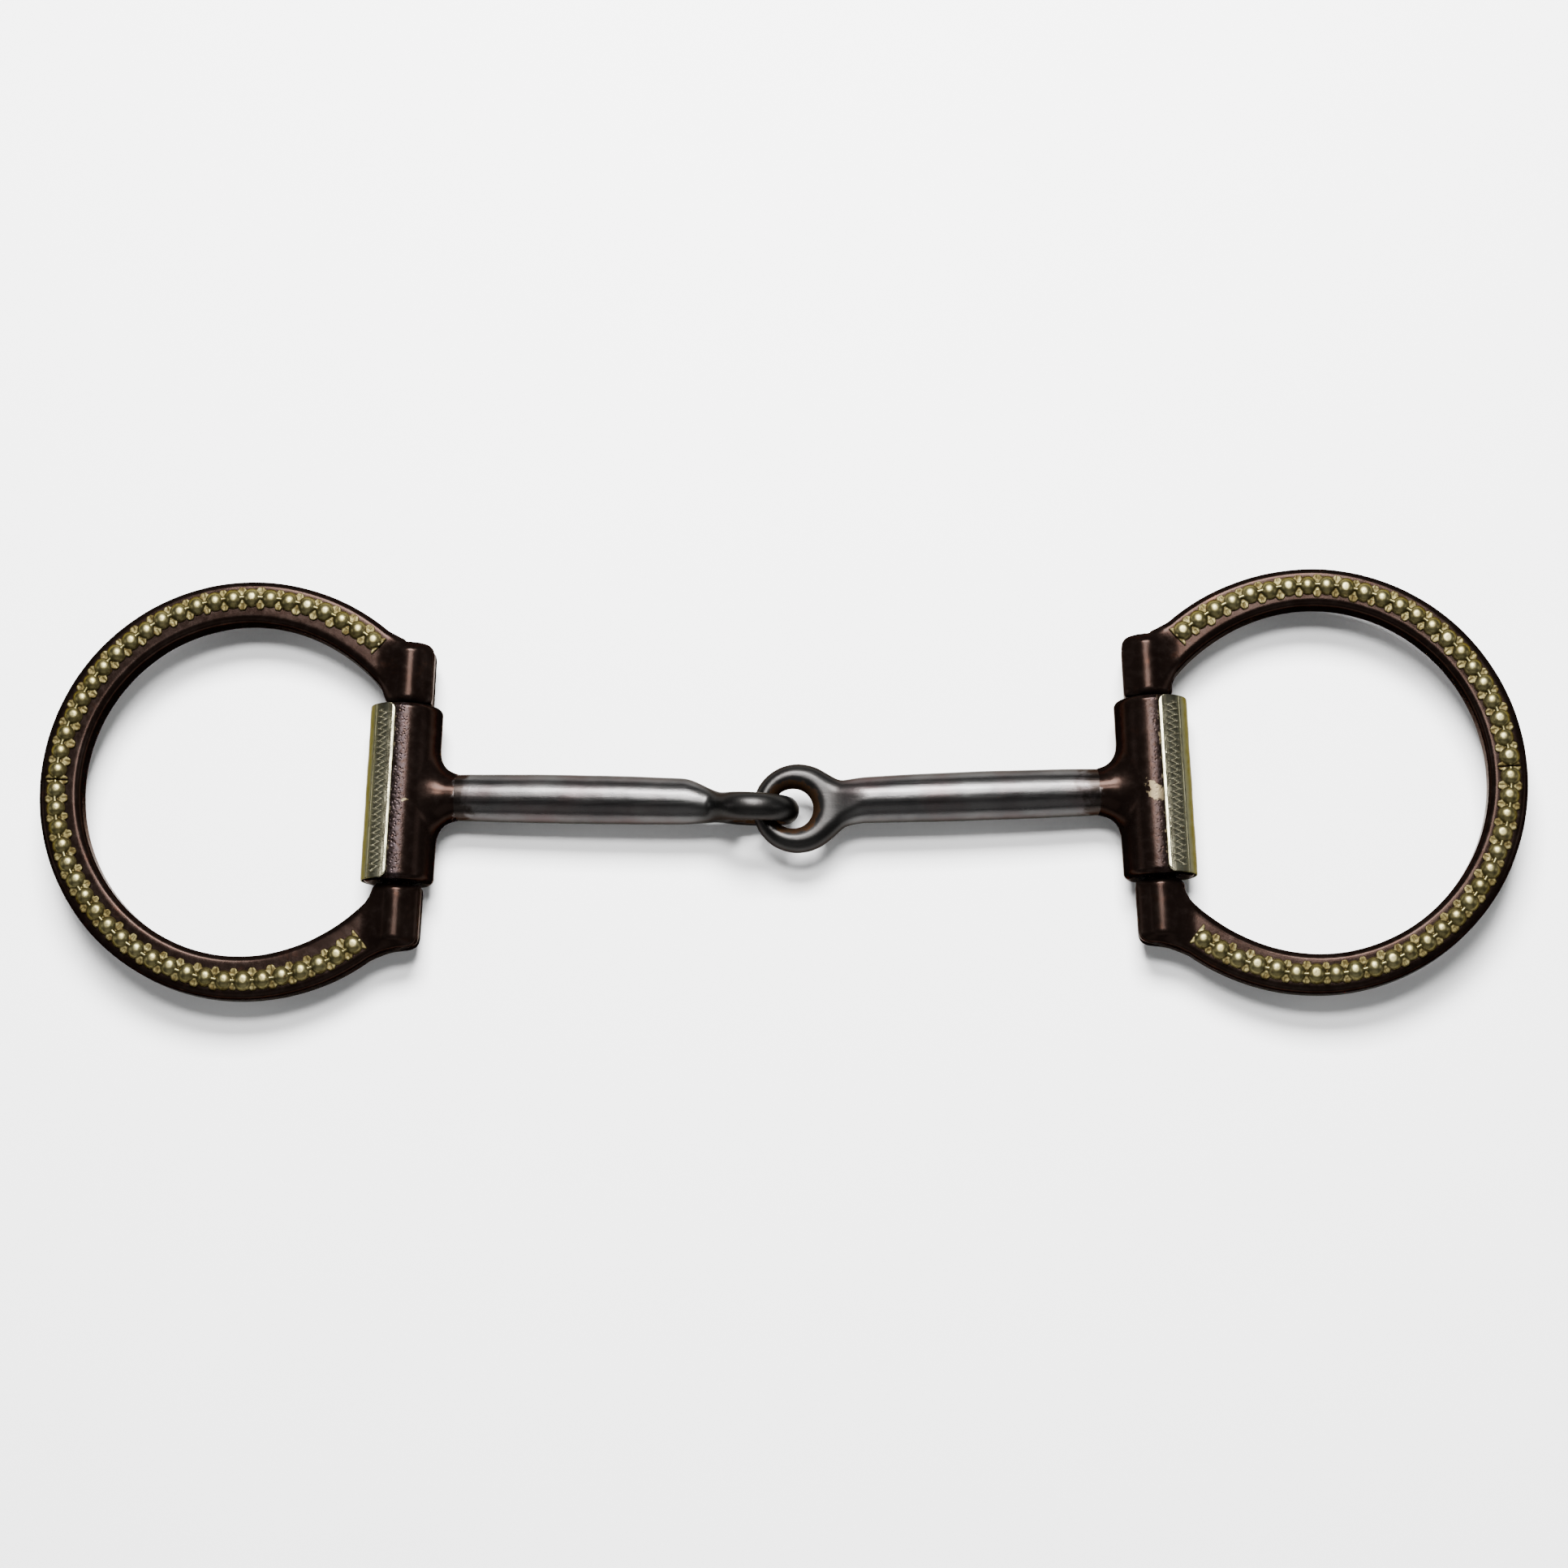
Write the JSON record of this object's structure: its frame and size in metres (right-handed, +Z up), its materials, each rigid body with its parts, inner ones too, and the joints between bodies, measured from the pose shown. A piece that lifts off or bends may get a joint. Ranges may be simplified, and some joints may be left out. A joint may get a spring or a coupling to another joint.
{
  "type": "snaffle bit",
  "caption": "Single-jointed snaffle bit with offset dee cheek rings on sleeve hinges, beaded silver trim and interlocked eyes at the middle of the mouth.",
  "frame": {"origin": "on the surface that the bit lies on, at the centre of its box in X and Y", "axes": "+X along the mouthpiece towards the right ring, +Y up the rings across the mouthpiece, +Z up from the surface through the ornamented faces"},
  "size_m": [0.278, 0.0796, 0.0168],
  "materials": {
    "browned_steel": "dark brown antiqued steel, satin, with soft highlights along the edges",
    "nickel_silver": "dull yellowish nickel silver with dark grime in the recesses",
    "sweet_iron": "bare grey steel with a light patina and fine scratches"
  },
  "bodies": {
    "left_mouth": {"left_cannon": "sweet_iron", "left_sleeve": "browned_steel", "left_sleeve_overlay": "nickel_silver"},
    "right_mouth": {"right_cannon": "sweet_iron", "right_sleeve": "browned_steel", "right_sleeve_overlay": "nickel_silver"},
    "left_cheek": {"left_ring": "browned_steel", "left_hinge_pin": "browned_steel", "left_upper_bead_strip": "nickel_silver", "left_lower_bead_strip": "nickel_silver"},
    "right_cheek": {"right_ring": "browned_steel", "right_hinge_pin": "browned_steel", "right_upper_bead_strip": "nickel_silver", "right_lower_bead_strip": "nickel_silver"}
  },
  "joints": [
    {"name": "mouth_fold", "type": "hinge", "parent": "left_mouth", "child": "right_mouth", "pos_m": [-0.00247, -0.00474, 0.00853], "axis": [0, 1, 0], "range_deg": [-70, 70]},
    {"name": "left_ring_swing", "type": "hinge", "parent": "left_mouth", "child": "left_cheek", "pos_m": [-0.0702, -0.00106, 0.00703], "axis": [0.0366, 0.9993, 0], "range_deg": [-100, 100]},
    {"name": "right_ring_swing", "type": "hinge", "parent": "right_mouth", "child": "right_cheek", "pos_m": [0.0702, -0.00106, 0.00703], "axis": [-0.0366, 0.9993, 0], "range_deg": [-100, 100]}
  ]
}
